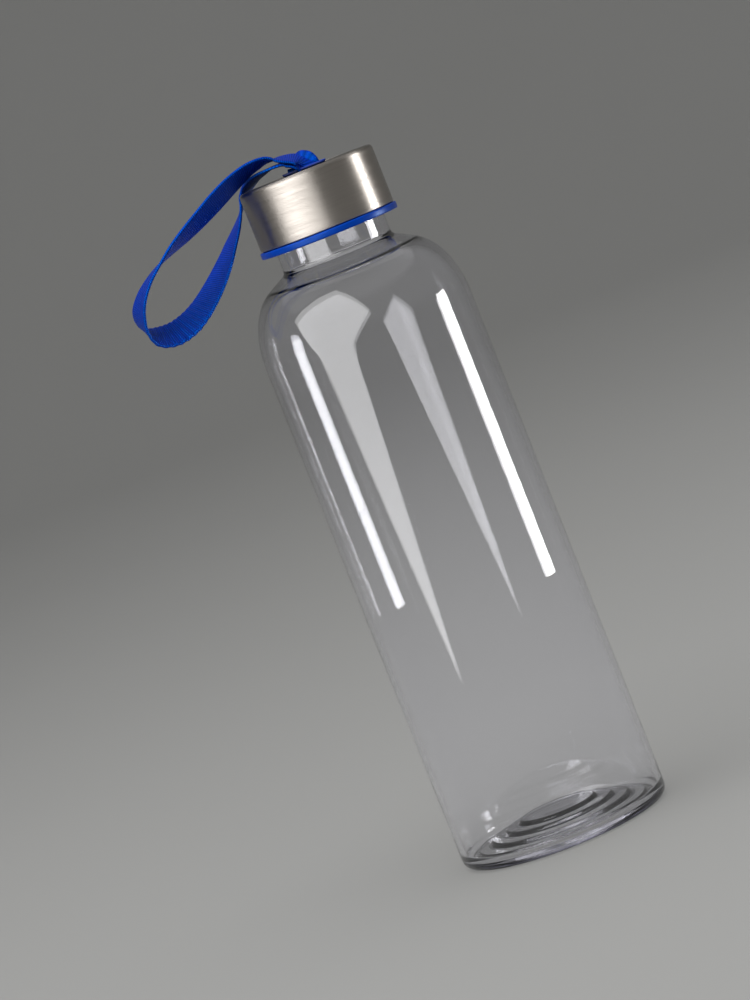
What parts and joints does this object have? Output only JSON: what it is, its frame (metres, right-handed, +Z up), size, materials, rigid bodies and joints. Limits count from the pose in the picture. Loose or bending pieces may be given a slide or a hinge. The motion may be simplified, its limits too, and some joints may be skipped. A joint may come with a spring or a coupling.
{
  "type": "drinking bottle",
  "caption": "Clear cylindrical drinking bottle with a rounded shoulder, a steel-clad screw cap and a webbing carry loop on the cap.",
  "frame": {"origin": "centre of the flat foot ring, on the bottle's axis", "axes": "+Z up along the bottle's axis; +X along the strap's slot, with the strap hanging towards -X; -Y is the front"},
  "size_m": [0.0974, 0.066, 0.2238],
  "materials": {
    "clear_plastic": "clear, high gloss, faint violet in thick places",
    "silicone": "matte, translucent white",
    "blue_plastic": "satin moulded blue",
    "cap_steel": "fine brushed round the cap",
    "pin_steel": "drawn wire, plain",
    "webbing": "ribbed woven polyester, royal blue"
  },
  "bodies": {
    "bottle": {"bottle_body": "clear_plastic"},
    "seal": {"seal_ring": "silicone"},
    "cap": {"inner_cap": "blue_plastic", "cap_shell": "cap_steel", "slot_bush": "blue_plastic", "strap_pin": "pin_steel", "strap_root": "webbing"},
    "strap": {"strap_loop": "webbing"}
  },
  "joints": [
    {"name": "cap_rise", "type": "slide", "parent": "bottle", "child": "seal", "axis": [0, 0, 1], "range_m": [0, 0.016]},
    {"name": "cap_turn", "type": "hinge", "parent": "seal", "child": "cap", "pos_m": [0, 0, 0.205], "axis": [0, 0, 1], "range_deg": [0, 1440]},
    {"name": "strap_swing", "type": "hinge", "parent": "cap", "child": "strap", "pos_m": [-0.0065, 0, 0.22175], "axis": [0, 1, 0], "range_deg": [0, 135]}
  ],
  "couplings": [
    {"joint": "cap_rise", "follows": "cap_turn", "m_per_rad": 0.00063661}
  ]
}
